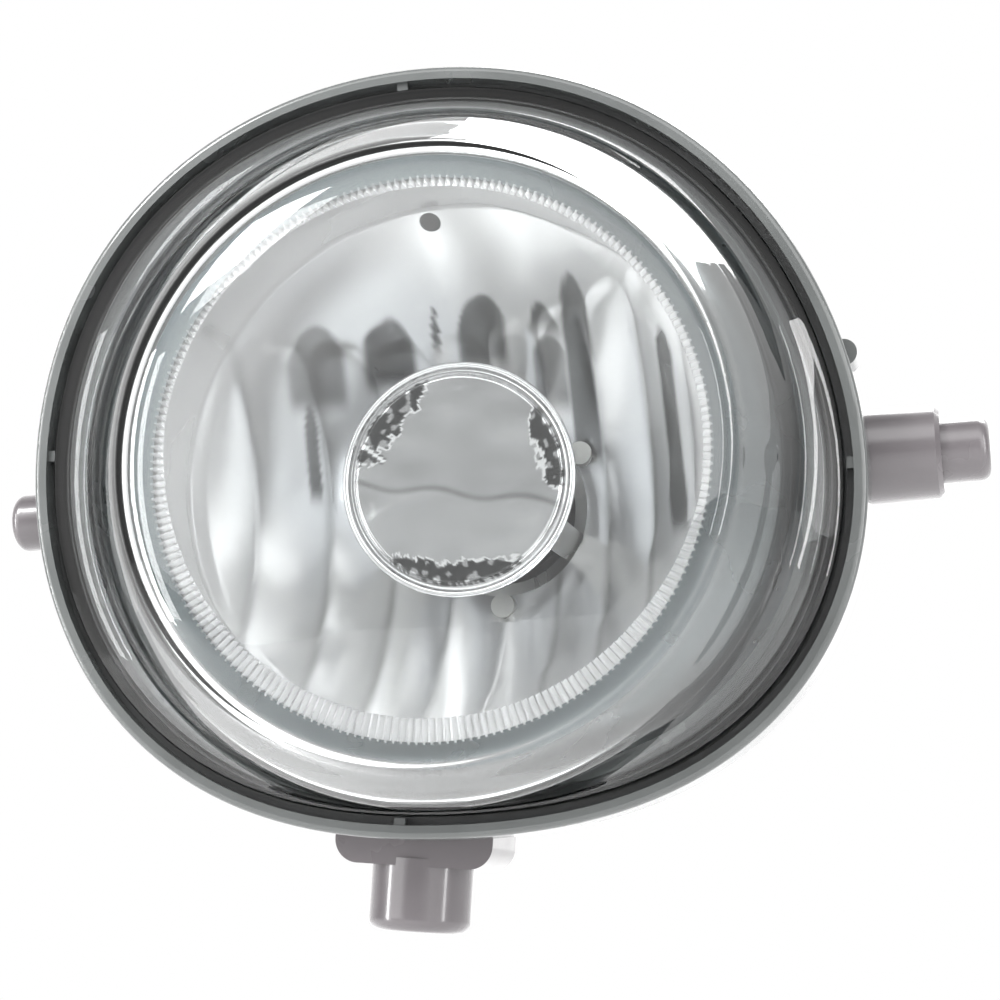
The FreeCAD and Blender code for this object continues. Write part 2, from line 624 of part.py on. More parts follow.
def make_tip_coating():
    """Thin opaque coat over the front of the glass."""
    corners = [
        ("0", "glass_tip - coat"),
        ("glass_radius - glass_round + glass_wall", "glass_tip + nose_rise - coat", "nose_radius", -1),
        ("glass_radius + coat", "glass_tip + glass_round", "glass_round", -1),
        ("glass_radius + coat", "coat_back"),
        ("glass_radius", "coat_back"),
        ("glass_radius", "glass_tip + glass_round"),
        ("glass_radius - glass_round + glass_wall", "glass_tip + nose_rise", "glass_round", 1),
        ("0", "glass_tip", "nose_radius", 1),
    ]
    return turned("bulb_coat_body", corners)


def filament_shape():
    """Tungsten coil on the optical axis."""
    coil = Part.makeHelix(size("coil_pitch"), size("coil_length"), size("coil_radius"))
    section = Part.Wire([Part.Circle(Vector(size("coil_radius"), 0, 0), Vector(0, 1, 0),
                                     size("coil_wire")).toShape()])
    spring = Part.Wire(coil.Edges).makePipeShell([section], True, True)
    spring.rotate(Vector(), Vector(1, 0, 0), -90)
    spring.translate(Vector(0, size("coil_front"), 0))
    return spring


def lead_wires_shape():
    """Two support wires: a short one to the rear end of the coil and a long one past it."""
    radius = size("lead_radius")
    offset = size("lead_offset")
    back = size("glass_back") - 7.85
    front = size("coil_front") - 0.6
    rear = size("coil_front") + size("coil_length") + 0.6
    wires = []
    for side, end in ((1, rear), (-1, front)):
        corner = Vector(side * offset, end, 0)
        run = rod(radius, Vector(side * offset, back, 0), corner)
        arm = rod(radius, corner, Vector(0, end, 0))
        wires.append(run.fuse([arm, Part.makeSphere(radius, corner)]))
    return Part.makeCompound(wires)


def make_bulb_can():
    """Metal can that grips the glass."""
    corners = [("glass_radius", "can_front"), ("can_radius - 0.5", "can_front"),
               ("can_radius", "can_front + 0.5"), ("can_radius", "can_back - 1"),
               ("0", "can_back - 1"), ("0", "glass_back"), ("glass_radius", "glass_back")]
    return turned("bulb_can_body", corners)


def make_bulb_base():
    """Moulded base: lugged plug, seal barrel, flange and a connector shroud that points down."""
    core = turned("bulb_core", [
        ("0", "plug_front"), ("plug_radius", "plug_front"), ("plug_radius", "barrel_front"),
        ("barrel_radius", "barrel_front"), ("barrel_radius", "ring_groove_front"),
        ("groove_radius", "ring_groove_front"), ("groove_radius", "ring_groove_back"),
        ("barrel_radius", "ring_groove_back"), ("barrel_radius", "flange_front"),
        ("flange_radius", "flange_front"), ("flange_radius", "flange_back"), ("0", "flange_back")])
    lugs = [shaped("lug_%d" % i, sector(size("lug_radius"), size("lug_front"), size("lug_back"), angle,
                                        size("lug_half_angle")))
            for i, angle in enumerate(LUG_ANGLES)]
    block = doc.addObject("Part::Box", "base_block")
    block.setExpression("Length", formula("block_width"))
    block.setExpression("Width", formula("block_back - flange_back + 1"))
    block.setExpression("Height", formula("block_height"))
    block.setExpression("Placement.Base.x", "0 - sizes.block_width / 2")
    block.setExpression("Placement.Base.y", formula("flange_back - 1"))
    block.setExpression("Placement.Base.z", "0 - sizes.block_height / 2")
    doc.recompute()
    rounded = doc.addObject("Part::Fillet", "base_block_rounded")
    rounded.Base = block
    radius = size("block_round")
    rounded.Edges = [(i, radius, radius) for i, edge in enumerate(block.Shape.Edges, start=1)
                     if edge.BoundBox.YLength > 1 or edge.BoundBox.YMin > size("block_back") - 0.01]
    shroud = doc.addObject("Part::Box", "shroud_block")
    shroud.setExpression("Length", formula("shroud_width"))
    shroud.setExpression("Width", formula("shroud_depth"))
    shroud.setExpression("Height", formula("shroud_end"))
    shroud.setExpression("Placement.Base.x", "0 - sizes.shroud_width / 2")
    shroud.setExpression("Placement.Base.y", formula("flange_back + 0.2"))
    shroud.setExpression("Placement.Base.z", formula("0 - shroud_end"))
    ribs = []
    for i, side in enumerate((-1, 1)):
        rib = box("shroud_rib_%d" % i, "1.2", "shroud_depth - 2", "8", "0", "flange_back + 1.2",
                  "4 - shroud_end")
        rib.setExpression("Placement.Base.x", "%d * (sizes.shroud_width / 2) - 0.6" % side)
        ribs.append(rib)
    solid = fuse("base_solid", [core] + lugs + [rounded, shroud] + ribs)
    socket = doc.addObject("Part::Box", "socket_hollow")
    socket.setExpression("Length", "sizes.shroud_width - 2 * sizes.shroud_wall")
    socket.setExpression("Width", "sizes.shroud_depth - 2 * sizes.shroud_wall")
    socket.setExpression("Height", formula("shroud_end - socket_floor + 1"))
    socket.setExpression("Placement.Base.x", "sizes.shroud_wall - sizes.shroud_width / 2")
    socket.setExpression("Placement.Base.y", formula("flange_back + 0.2 + shroud_wall"))
    socket.setExpression("Placement.Base.z", formula("0 - shroud_end - 1"))
    return cut("bulb_base_solid", solid, socket)


def make_terminals():
    """Two blade terminals in the connector."""
    blades = []
    for i, side in enumerate((-1, 1)):
        blade = doc.addObject("Part::Box", "blade_%d" % i)
        blade.setExpression("Length", formula("blade_width"))
        blade.setExpression("Width", formula("blade_thick"))
        blade.setExpression("Height", formula("blade_length"))
        blade.setExpression("Placement.Base.x",
                            "%d * sizes.blade_pitch / 2 - sizes.blade_width / 2" % side)
        blade.setExpression("Placement.Base.y",
                            "sizes.flange_back + 0.2 + (sizes.shroud_depth - sizes.blade_thick) / 2")
        blade.setExpression("Placement.Base.z", "0 - sizes.socket_floor - sizes.blade_length")
        blades.append(blade)
    group = doc.addObject("Part::Compound", "blades")
    group.Links = blades
    return group


def make_o_ring():
    node = doc.addObject("Part::Torus", "o_ring")
    node.setExpression("Radius1", formula("ring_radius"))
    node.setExpression("Radius2", formula("ring_section"))
    node.Placement = FreeCAD.Placement(Vector(), ALONG_Y)
    body = doc.addObject("Part::Compound", "o_ring_group")
    body.Links = [node]
    node.setExpression("Placement.Base.y", "(sizes.ring_groove_front + sizes.ring_groove_back) / 2")
    return body


# ---------------------------------------------------------------------------------- pivots, post
def make_pivot_pin_right():
    """Stepped pivot: tapered trunnion with a chamfered shoulder, then the bearing pin."""
    corners = [
        ("trunnion_root", "0"), ("trunnion_root", "trunnion_root_radius"),
        ("boss_reach", "trunnion_root_radius"),
        ("shoulder_reach - trunnion_chamfer", "trunnion_radius"),
        ("shoulder_reach", "trunnion_radius - trunnion_chamfer"), ("shoulder_reach", "pin_radius"),
        ("pin_reach_right - pin_round", "pin_radius"),
        ("pin_reach_right", "pin_radius - pin_round", "pin_round", 1), ("pin_reach_right", "0")]
    return turned("pin_right_body", corners, axis="H_Axis")


def make_pivot_pin_left():
    """Plain pivot pin on a spigot that enters the boss."""
    corners = [
        ("0 - left_pin_root", "0"), ("0 - left_pin_root", "spigot_radius"),
        ("0 - left_boss_reach", "spigot_radius"), ("0 - left_boss_reach", "left_pin_radius"),
        ("pin_round - pin_reach_left", "left_pin_radius"),
        ("0 - pin_reach_left", "left_pin_radius - pin_round", "pin_round", -1),
        ("0 - pin_reach_left", "0")]
    return turned("pin_left_body", corners, axis="H_Axis")


def aim_post_shape():
    """Flanged post: a pad with rounded lower corners, a round post and a tenon that enters the housing.
    Drawn upright with the post along -Z from its own origin, then leaned."""
    width = size("pad_width")
    depth = size("pad_depth")
    top = -size("pad_top")
    face = -size("pad_face")
    pad = Part.makeBox(width, depth, top - face, Vector(-width / 2, size("pad_shift") - depth / 2, face))
    corners = [edge for edge in pad.Edges
               if edge.BoundBox.YLength > depth - 0.1 and edge.BoundBox.ZMax < face + 0.1]
    pad = pad.makeFillet(size("pad_round"), corners)
    post = rod(size("post_radius"), Vector(0, 0, face + 1), Vector(0, 0, -size("post_end")))
    rim = [edge for edge in post.Edges if edge.BoundBox.ZMax < 0.1 - size("post_end")]
    post = post.makeFillet(size("post_round"), rim)
    tenon = rod(size("tenon_radius"), Vector(0, 0, top - 0.5), Vector(0, 0, top + size("tenon_length")))
    bore = rod(size("insert_radius"), Vector(0, 0, -size("post_end") - 1),
               Vector(0, 0, size("insert_length") - size("post_end")))
    solid = pad.fuse([post, tenon]).cut(bore)
    solid.Placement = FreeCAD.Placement(post_point(0), post_turn()).multiply(solid.Placement)
    return solid


def aim_insert_shape():
    """Threaded brass bush in the end of the post, drawn at its minor diameter."""
    bottom = Vector(0, 0, -size("post_end"))
    top = Vector(0, 0, size("insert_length") - size("post_end"))
    bush = rod(size("insert_radius"), bottom, top)
    bush = bush.cut(rod(size("insert_bore"), bottom - Vector(0, 0, 1), top - Vector(0, 0, 1)))
    bush.Placement = FreeCAD.Placement(post_point(0), post_turn()).multiply(bush.Placement)
    return bush


# --------------------------------------------------------------------------------------- breather
def make_vent_cap():
    """Rubber cap pushed over the breather nozzle."""
    body = turned("vent_cap_body", [
        ("nozzle_radius", "cap_front"), ("cap_radius - 0.8", "cap_front"),
        ("cap_radius", "cap_front + 1"), ("cap_radius", "cap_back - 1.5"),
        ("cap_radius - 1.5", "cap_back", "1.5", -1), ("0", "cap_back"),
        ("0", "nozzle_end + membrane"), ("nozzle_radius", "nozzle_end + membrane")])
    return body


def membrane_shape():
    x = size("nozzle_x")
    z = size("nozzle_z")
    end = size("nozzle_end")
    return rod(size("nozzle_radius") - 0.2, Vector(x, end, z), Vector(x, end + size("membrane"), z))


# -------------------------------------------------------------------------------------- assembly
housing = housing_shape()
lens = lens_shape()
reflector = reflector_shape()

shapes = {
    "housing_shell": housing,
    "lens": lens,
    "lens_seal": lens_seal_shape(lens, housing),
    "reflector": reflector,
    "reflector_screws": reflector_screws_shape(),
    "reflector_bezel": bezel_shape(),
    "shield_bracket": shield_bracket_shape(),
    "shield_rivets": rivet_shape(reflector),
    "bulb_filament": filament_shape(),
    "bulb_lead_wires": lead_wires_shape(),
    "aim_post": aim_post_shape(),
    "aim_insert": aim_insert_shape(),
    "vent_membrane": membrane_shape(),
}
nodes = [put_in_part_frame(shaped(name + "_feature", shape), name) for name, shape in shapes.items()]
nodes += [
    put_in_part_frame(make_shield_cap(), "bulb_shield_cap"),
    put_in_part_frame(make_glass(), "bulb_glass"),
    put_in_part_frame(make_tip_coating(), "bulb_tip_coating"),
    put_in_part_frame(make_bulb_can(), "bulb_collar"),
    put_in_part_frame(make_bulb_base(), "bulb_base"),
    put_in_part_frame(make_terminals(), "bulb_terminals"),
    put_in_part_frame(make_o_ring(), "bulb_o_ring"),
    put_in_part_frame(make_pivot_pin_right(), "pivot_pin_right"),
    put_in_part_frame(make_pivot_pin_left(), "pivot_pin_left"),
    put_in_part_frame(make_vent_cap(), "vent_cap"),
]
for label in ("pivot_pin_right", "pivot_pin_left"):
    pin = doc.getObjectsByLabel(label)[0]
    pin.setExpression("Placement.Base.y", "0")
cap = doc.getObjectsByLabel("vent_cap")[0]
cap.setExpression("Placement.Base.x", formula("nozzle_x - pin_centre_x"))
cap.setExpression("Placement.Base.z", formula("nozzle_z"))
doc.recompute()

# ------------------------------------------------------------------------------ checks and output
for item in doc.Objects:
    if "Invalid" in item.State or "Error" in item.State:
        raise RuntimeError("%s failed: %s" % (item.Label, item.State))
for node in nodes:
    if node.Shape.isNull() or not node.Shape.isValid():
        raise RuntimeError("%s has no valid shape" % node.Label)

os.makedirs("parts", exist_ok=True)
for node in nodes:
    node.Shape.exportStep("parts/%s.step" % node.Label)
    print("%-20s solids %d  volume %9.1f mm3" % (node.Label, len(node.Shape.Solids), node.Shape.Volume))
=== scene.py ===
import math
import random

import bmesh
import bpy
from mathutils import Matrix, Vector, noise


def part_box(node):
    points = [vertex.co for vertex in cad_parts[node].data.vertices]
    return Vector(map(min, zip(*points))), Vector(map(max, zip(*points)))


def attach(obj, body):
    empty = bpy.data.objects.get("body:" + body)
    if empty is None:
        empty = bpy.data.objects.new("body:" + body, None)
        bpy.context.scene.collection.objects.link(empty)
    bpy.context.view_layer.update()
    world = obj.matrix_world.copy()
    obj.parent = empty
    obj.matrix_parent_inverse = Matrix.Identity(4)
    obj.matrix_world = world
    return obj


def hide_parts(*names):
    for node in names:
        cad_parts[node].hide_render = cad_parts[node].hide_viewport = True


# Looks of the fog lamp.  Lengths in the profiles below are millimetres in the lamp's own axes: x to the
# right and z up as seen from the front, y to the rear along the optical axis, y = 0 at the front of the
# housing rim.  at() turns them into metres in the frame of the CAD model.

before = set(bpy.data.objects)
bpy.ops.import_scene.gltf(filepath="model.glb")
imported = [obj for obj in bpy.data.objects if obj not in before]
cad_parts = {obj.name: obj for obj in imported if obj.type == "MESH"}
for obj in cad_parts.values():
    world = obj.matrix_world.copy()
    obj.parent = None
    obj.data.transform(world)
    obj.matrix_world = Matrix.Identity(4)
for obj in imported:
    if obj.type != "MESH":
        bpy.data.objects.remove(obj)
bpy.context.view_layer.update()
random.seed(41)

MM = 0.001
LENS_FRONT = 21.6
RIM_CENTRE = (-1.8, 2.9)
RIM_RADIUS = 52.1
RIM_WAVES = ((2, 2.2, -10.7), (3, 0.95, -29.4), (4, 0.6, -40.0))


def lamp_origin():
    """Where the optical axis crosses the rim's front plane."""
    ring_low, ring_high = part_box("bulb_o_ring")
    lens_low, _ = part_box("lens")
    middle = (ring_low + ring_high) / 2
    return Vector((middle.x, lens_low.y + LENS_FRONT * MM, middle.z))


ORIGIN = lamp_origin()


def at(x, y, z):
    """A point of the lamp, given in mm, in the frame of the CAD model."""
    return ORIGIN + Vector((x, y, z)) * MM


# ------------------------------------------------------------------------------------- materials
def new_material(name):
    material = bpy.data.materials.new(name)
    material.use_nodes = True
    nodes = material.node_tree.nodes
    shader = nodes["Principled BSDF"]
    return material, nodes, material.node_tree.links, shader


def noise_node(nodes, links, place, scale, detail=3.0, distortion=0.0):
    texture = nodes.new("ShaderNodeTexNoise")
    texture.inputs["Scale"].default_value = scale
    texture.inputs["Detail"].default_value = detail
    texture.inputs["Distortion"].default_value = distortion
    links.new(place, texture.inputs["Vector"])
    return texture.outputs["Fac"]


def ramp(nodes, links, value, low, high):
    """Value 0.3..0.7 of a noise spread over low..high."""
    spread = nodes.new("ShaderNodeMapRange")
    spread.inputs["From Min"].default_value = 0.3
    spread.inputs["From Max"].default_value = 0.7
    spread.inputs["To Min"].default_value = low
    spread.inputs["To Max"].default_value = high
    links.new(value, spread.inputs["Value"])
    return spread.outputs["Result"]


def blend_colour(nodes, links, factor, first, second):
    mix = nodes.new("ShaderNodeMix")
    mix.data_type = "RGBA"
    for socket, colour in ((mix.inputs[6], first), (mix.inputs[7], second)):
        if isinstance(colour, bpy.types.NodeSocket):
            links.new(colour, socket)
        else:
            socket.default_value = (*colour, 1.0)
    links.new(factor, mix.inputs[0])
    return mix.outputs[2]


def surface(name, colour, roughness, metallic=0.0, mottle=0.08, mottle_scale=70.0, rough_spread=0.06,
            grain_scale=2600.0, grain=0.03, coat=0.0):
    """Moulded or metal surface: slow colour variation, uneven gloss and a fine grain."""
    material, nodes, links, shader = new_material(name)
    place = nodes.new("ShaderNodeTexCoord").outputs["Object"]
    slow = noise_node(nodes, links, place, mottle_scale, 4.0, 0.4)
    fine = noise_node(nodes, links, place, grain_scale, 2.0)
    darker = [channel * (1 - mottle) for channel in colour]
    lighter = [min(1.0, channel * (1 + mottle)) for channel in colour]
    factor = ramp(nodes, links, slow, 0.0, 1.0)
    links.new(blend_colour(nodes, links, factor, darker, lighter), shader.inputs["Base Color"])
    gloss = ramp(nodes, links, slow, max(0.0, roughness - rough_spread), roughness + rough_spread)
    links.new(gloss, shader.inputs["Roughness"])
    bump = nodes.new("ShaderNodeBump")
    bump.inputs["Strength"].default_value = grain
    bump.inputs["Distance"].default_value = 0.0004
    links.new(fine, bump.inputs["Height"])
    links.new(bump.outputs["Normal"], shader.inputs["Normal"])
    shader.inputs["Metallic"].default_value = metallic
    shader.inputs["Coat Weight"].default_value = coat
    shader.inputs["Coat Roughness"].default_value = 0.08
    return material


def glass(name, tint, ior, wave_scale, wave):
    """Clear moulded glass with a faint flow waviness."""
    material, nodes, links, shader = new_material(name)
    place = nodes.new("ShaderNodeTexCoord").outputs["Object"]
    slow = noise_node(nodes, links, place, wave_scale, 2.0)
    factor = ramp(nodes, links, slow, 0.0, 1.0)
    paler = [min(1.0, channel * 1.012) for channel in tint]
    links.new(blend_colour(nodes, links, factor, tint, paler), shader.inputs["Base Color"])
    bump = nodes.new("ShaderNodeBump")
    bump.inputs["Strength"].default_value = wave
    bump.inputs["Distance"].default_value = 0.001
    links.new(slow, bump.inputs["Height"])
    links.new(bump.outputs["Normal"], shader.inputs["Normal"])
    shader.inputs["Roughness"].default_value = 0.0
    shader.inputs["IOR"].default_value = ior
    shader.inputs["Transmission Weight"].default_value = 1.0
    return material


def toned_metal(name, roughness, rough_spread, grain_scale, grain, metallic=1.0):
    """Bright metal whose colour, painted reflections and shade included, is worked out along with the mesh
    and kept in its colour layer.
    """
    material, nodes, links, shader = new_material(name)
    place = nodes.new("ShaderNodeTexCoord").outputs["Object"]
    tone = nodes.new("ShaderNodeAttribute")
    tone.attribute_name = TONE
    slow = noise_node(nodes, links, place, 90.0, 3.0)
    fine = noise_node(nodes, links, place, grain_scale, 2.0)
    shaded = nodes.new("ShaderNodeVectorMath")
    shaded.operation = "MULTIPLY"
    links.new(tone.outputs["Color"], shaded.inputs[0])
    links.new(blend_colour(nodes, links, ramp(nodes, links, slow, 0.0, 1.0), (0.95, 0.95, 0.955),
                           (1.0, 1.0, 1.0)), shaded.inputs[1])
    links.new(shaded.outputs[0], shader.inputs["Base Color"])
    bump = nodes.new("ShaderNodeBump")
    bump.inputs["Strength"].default_value = grain
    bump.inputs["Distance"].default_value = 0.0006
    links.new(fine, bump.inputs["Height"])
    links.new(bump.outputs["Normal"], shader.inputs["Normal"])
    links.new(ramp(nodes, links, slow, roughness - rough_spread, roughness + rough_spread),
              shader.inputs["Roughness"])
    shader.inputs["Metallic"].default_value = metallic
    return material


TONE = "tone"
MATERIALS = {
    "housing_shell": surface("housing_plastic", (0.075, 0.08, 0.079), 0.24, mottle=0.12, coat=0.5),
    "lens_seal": surface("sealant_black", (0.022, 0.023, 0.023), 0.5, grain=0.2, grain_scale=1400.0),
    "reflector": toned_metal("reflector_metal", 0.17, 0.03, 900.0, 0.0, metallic=0.7),
    "reflector_screws": surface("screw_zinc", (0.6, 0.6, 0.58), 0.35, metallic=1.0, grain=0.1),
    "reflector_bezel": surface("bezel_metal", (0.068, 0.084, 0.088), 0.3, metallic=1.0, mottle=0.06,
                               grain=0.02, grain_scale=1800.0),
    "bulb_shield_cap": toned_metal("shield_chrome", 0.09, 0.03, 240.0, 0.08),
    "shield_bracket": surface("bracket_steel", (0.55, 0.55, 0.54), 0.3, metallic=1.0, grain=0.08),
    "bulb_tip_coating": surface("bulb_black", (0.02, 0.02, 0.022), 0.55, grain=0.1),
    "bulb_filament": surface("tungsten", (0.35, 0.35, 0.36), 0.35, metallic=1.0),
    "bulb_collar": surface("collar_steel", (0.6, 0.6, 0.6), 0.28, metallic=1.0, grain=0.06),
    "bulb_base": surface("base_plastic", (0.035, 0.035, 0.038), 0.45, grain=0.2, grain_scale=1800.0),
    "bulb_terminals": surface("terminal_tin", (0.74, 0.66, 0.45), 0.25, metallic=1.0, grain=0.05),
    "bulb_o_ring": surface("o_ring_rubber", (0.33, 0.07, 0.035), 0.5, grain=0.1),
    "pivot_pin_right": surface("pivot_plastic", (0.088, 0.079, 0.084), 0.24, mottle=0.12, coat=0.5),
    "aim_insert": surface("insert_brass", (0.75, 0.6, 0.32), 0.3, metallic=1.0, grain=0.08),
    "vent_cap": surface("cap_rubber", (0.03, 0.03, 0.03), 0.55, grain=0.15),
    "vent_membrane": surface("membrane_cloth", (0.82, 0.82, 0.8), 0.8, grain=0.3, grain_scale=3500.0),
    "lens": glass("lens_clear", (0.968, 0.985, 0.987), 1.5, 60.0, 0.05),
    "bulb_glass": glass("bulb_clear", (0.95, 0.965, 0.98), 1.46, 120.0, 0.03),
}
MATERIALS["shield_rivets"] = MATERIALS["reflector_screws"]
MATERIALS["bulb_lead_wires"] = MATERIALS["bulb_filament"]
MATERIALS["pivot_pin_left"] = MATERIALS["pivot_pin_right"]
MATERIALS["aim_post"] = MATERIALS["pivot_pin_right"]

for node_name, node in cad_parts.items():
    node.data.materials.clear()
    node.data.materials.append(MATERIALS[node_name])
    node.data.shade_smooth()
    node.data.set_sharp_from_angle(angle=math.radians(32))


# ------------------------------------------------------------------------------------ mesh tools
def new_piece(name, vertices, faces, material, sharp):
    """A named mesh that rides on the lamp's body.  Vertices are in mm in the lamp's axes."""
    mesh = bpy.data.meshes.new(name)
    mesh.from_pydata([at(*vertex) for vertex in vertices], [], faces)
    tidy = bmesh.new()
    tidy.from_mesh(mesh)
    bmesh.ops.remove_doubles(tidy, verts=tidy.verts, dist=1e-7)
    bmesh.ops.recalc_face_normals(tidy, faces=tidy.faces)
    tidy.to_mesh(mesh)
    tidy.free()
    mesh.shade_smooth()
    mesh.set_sharp_from_angle(angle=math.radians(sharp))
    mesh.materials.append(material)
    piece = bpy.data.objects.new(name, mesh)
    bpy.context.scene.collection.objects.link(piece)
    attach(piece, "lamp")
    return piece


def paint(piece, tone):
    """Fills the colour layer; tone is a function of the lamp's x, y and z in mm."""
    layer = piece.data.color_attributes.new(TONE, "FLOAT_COLOR", "POINT")
    for vertex, entry in zip(piece.data.vertices, layer.data):
        value = tone(*((vertex.co - ORIGIN) / MM))
        entry.color = (value, value, value, 1.0) if isinstance(value, float) else (*value, 1.0)


def rim_reach(angle):
    """Distance in mm from the rim outline's centre to the outline, at an angle in radians."""
    waves = (size * math.cos(order * (angle - math.radians(turn))) for order, size, turn in RIM_WAVES)
    return RIM_RADIUS + sum(waves)


def outline_point(inset, y):
    """Station on the rim outline, moved in by inset."""
    def point(angle):
        reach = rim_reach(angle) - inset
        return Vector((RIM_CENTRE[0] + reach * math.cos(angle), y, RIM_CENTRE[1] + reach * math.sin(angle)))
    return point


def ring_point(radius, y, centre=(0.0, 0.0)):
    """Station on a circle."""
    def point(angle):
        return Vector((centre[0] + radius * math.cos(angle), y, centre[1] + radius * math.sin(angle)))
    return point


def between(first, second, share):
    """Station part of the way from one to another."""
    return lambda angle: first(angle).lerp(second(angle), share)


def rounded_path(stations, angle, steps=5):
    """The stations at one angle joined up, each corner rounded by its own radius.  A station is
    (point, radius)."""
    keys = [(point(angle), radius) for point, radius in stations]
    path = [keys[0][0]]
    for (before, _), (corner, radius), (after, _) in zip(keys, keys[1:], keys[2:]):
        back = before - corner
        ahead = after - corner
        start = corner + back.normalized() * min(radius, back.length * 0.48)
        end = corner + ahead.normalized() * min(radius, ahead.length * 0.48)
        for step in range(steps + 1):
            t = step / steps
            path.append(start * (1 - t) ** 2 + corner * 2 * t * (1 - t) + end * t ** 2)
    path.append(keys[-1][0])
    return path


def sweep(paths, closed_path):
    """Vertices and faces of a skin over paths that go round the optical axis."""
    count = len(paths[0])
    around = len(paths)
    vertices = [tuple(point) for path in paths for point in path]
    faces = []
    for i in range(around):
        j = (i + 1) % around
        for k in range(count if closed_path else count - 1):
            m = (k + 1) % count
            faces.append((i * count + k, i * count + m, j * count + m, j * count + k))
    return vertices, faces


def angles(count):
    return [2 * math.pi * step / count for step in range(count)]


# ------------------------------------------------------------------------------------- reflector
SHIELD_FRONT = 5.0
FOCAL = 10.0
APEX = 36.0
MOUTH_RADIUS = 35.5
MOUTH_FRONT = -11.8
SKIN = 0.8
BULB_HOLE = 11.8
HUB_BACK = 34.4
FLUTE_WIDTH = 7.4
FLUTE_START = 0.2
FLUTE_DEPTH = 0.42
FLUTE_TOP = 21.0
VENT_HOLE = (-2.6, 34.3, 1.35)


def parabola(radius):
    return APEX - radius ** 2 / (4 * FOCAL)


def flute(x, z):
    """How far a flute stands forward of the paraboloid: upright ribs with arched tops."""
    u = ((x - FLUTE_START) / FLUTE_WIDTH) % 1.0
    arch = 1 - (2 * u - 1) ** 2
    top = FLUTE_TOP + 3.0 * (1 - (2 * u - 1) ** 4) + 0.1 * x
    fade = min(1.0, max(0.0, (top - z) / 2.6))
    return FLUTE_DEPTH * arch * fade * fade * (3 - 2 * fade)


def reflector_paths():
    around = 300
    rings = 76
    paths = []
    for angle in angles(around):
        c = math.cos(angle)
        s = math.sin(angle)
        path = []
        for step in range(rings + 1):
            radius = BULB_HOLE + (MOUTH_RADIUS - BULB_HOLE) * step / rings
            edge = min(1.0, (MOUTH_RADIUS - radius) / 1.5, (radius - BULB_HOLE) / 4.0)
            depth = parabola(radius) - flute(radius * c, radius * s) * max(0.0, edge)
            path.append(Vector((radius * c, depth, radius * s)))
        for y in (3.0, 0.0, -4.0, -8.0, MOUTH_FRONT + 0.4):
            path.append(Vector((MOUTH_RADIUS * c, y, MOUTH_RADIUS * s)))
        path.append(Vector(((MOUTH_RADIUS + 0.3) * c, MOUTH_FRONT, (MOUTH_RADIUS + 0.3) * s)))
        path.append(Vector(((MOUTH_RADIUS + SKIN) * c, MOUTH_FRONT, (MOUTH_RADIUS + SKIN) * s)))
        for step in range(13):
            radius = MOUTH_RADIUS + (BULB_HOLE - MOUTH_RADIUS + 1.5) * step / 12
            slope = math.atan(radius / (2 * FOCAL))
            back_radius = radius + SKIN * math.sin(slope)
            depth = parabola(radius) + SKIN * math.cos(slope)
            path.append(Vector((back_radius * c, depth, back_radius * s)))
        path.append(Vector(((BULB_HOLE + 1.0) * c, HUB_BACK, (BULB_HOLE + 1.0) * s)))
        path.append(Vector((BULB_HOLE * c, HUB_BACK, BULB_HOLE * s)))
        paths.append(path)
    return paths


def cut_with(piece, cutter):
    """Boolean cut, applied to the mesh; the cutter is removed."""
    modifier = piece.modifiers.new("cut", "BOOLEAN")
    modifier.operation = "DIFFERENCE"
    modifier.solver = "EXACT"
    modifier.object = cutter
    bpy.context.view_layer.update()
    evaluated = piece.evaluated_get(bpy.context.evaluated_depsgraph_get())
    mesh = bpy.data.meshes.new_from_object(evaluated)
    piece.modifiers.clear()
    piece.data = mesh
    bpy.data.objects.remove(cutter)


def rod_between(start, end, radius, sides=32):
    """Closed rod used as a cutter, given in mm."""
    bar = bmesh.new()
    length = (end - start).length
    bmesh.ops.create_cone(bar, cap_ends=True, segments=sides, radius1=radius * MM, radius2=radius * MM,
                          depth=length * MM)
    turn = (end - start).to_track_quat("Z", "Y").to_matrix().to_4x4()
    bmesh.ops.transform(bar, matrix=Matrix.Translation(at(*((start + end) / 2))) @ turn, verts=bar.verts)
    mesh = bpy.data.meshes.new("cutter")
    bar.to_mesh(mesh)
    bar.free()
    cutter = bpy.data.objects.new("cutter", mesh)
    bpy.context.scene.collection.objects.link(cutter)
    return cutter


# painted reflections of the shield's dark back: grey arches above the shield, in mm about the shield as seen
# from the front right:
# middle, half width, low, high, tone
SHIELD_REFLECTION_ARCHES = ((-17.6, 3.6, 9.2, 21.7, 0.22), (-19.0, 0.8, -2.6, 12.0, 0.2), (-7.8, 3.2, 11.0, 22.4, 0.08),
          (-1.5, 0.5, 15.5, 23.2, 0.12), (4.5, 3.0, 13.0, 24.2, 0.16), (12.6, 2.0, 17.0, 22.7, 0.2),
          (12.9, 2.0, 6.7, 19.0, 0.36), (16.8, 1.6, -1.0, 25.2, 0.22), (28.1, 1.1, -10.2, 17.5, 0.2))


VIEW_DISTANCE = 330.0
VIEW_ACROSS = 0.2
VIEW_RISE = -0.165


def step_up(value):
    value = min(1.0, max(0.0, value))
    return value * value * (3 - 2 * value)


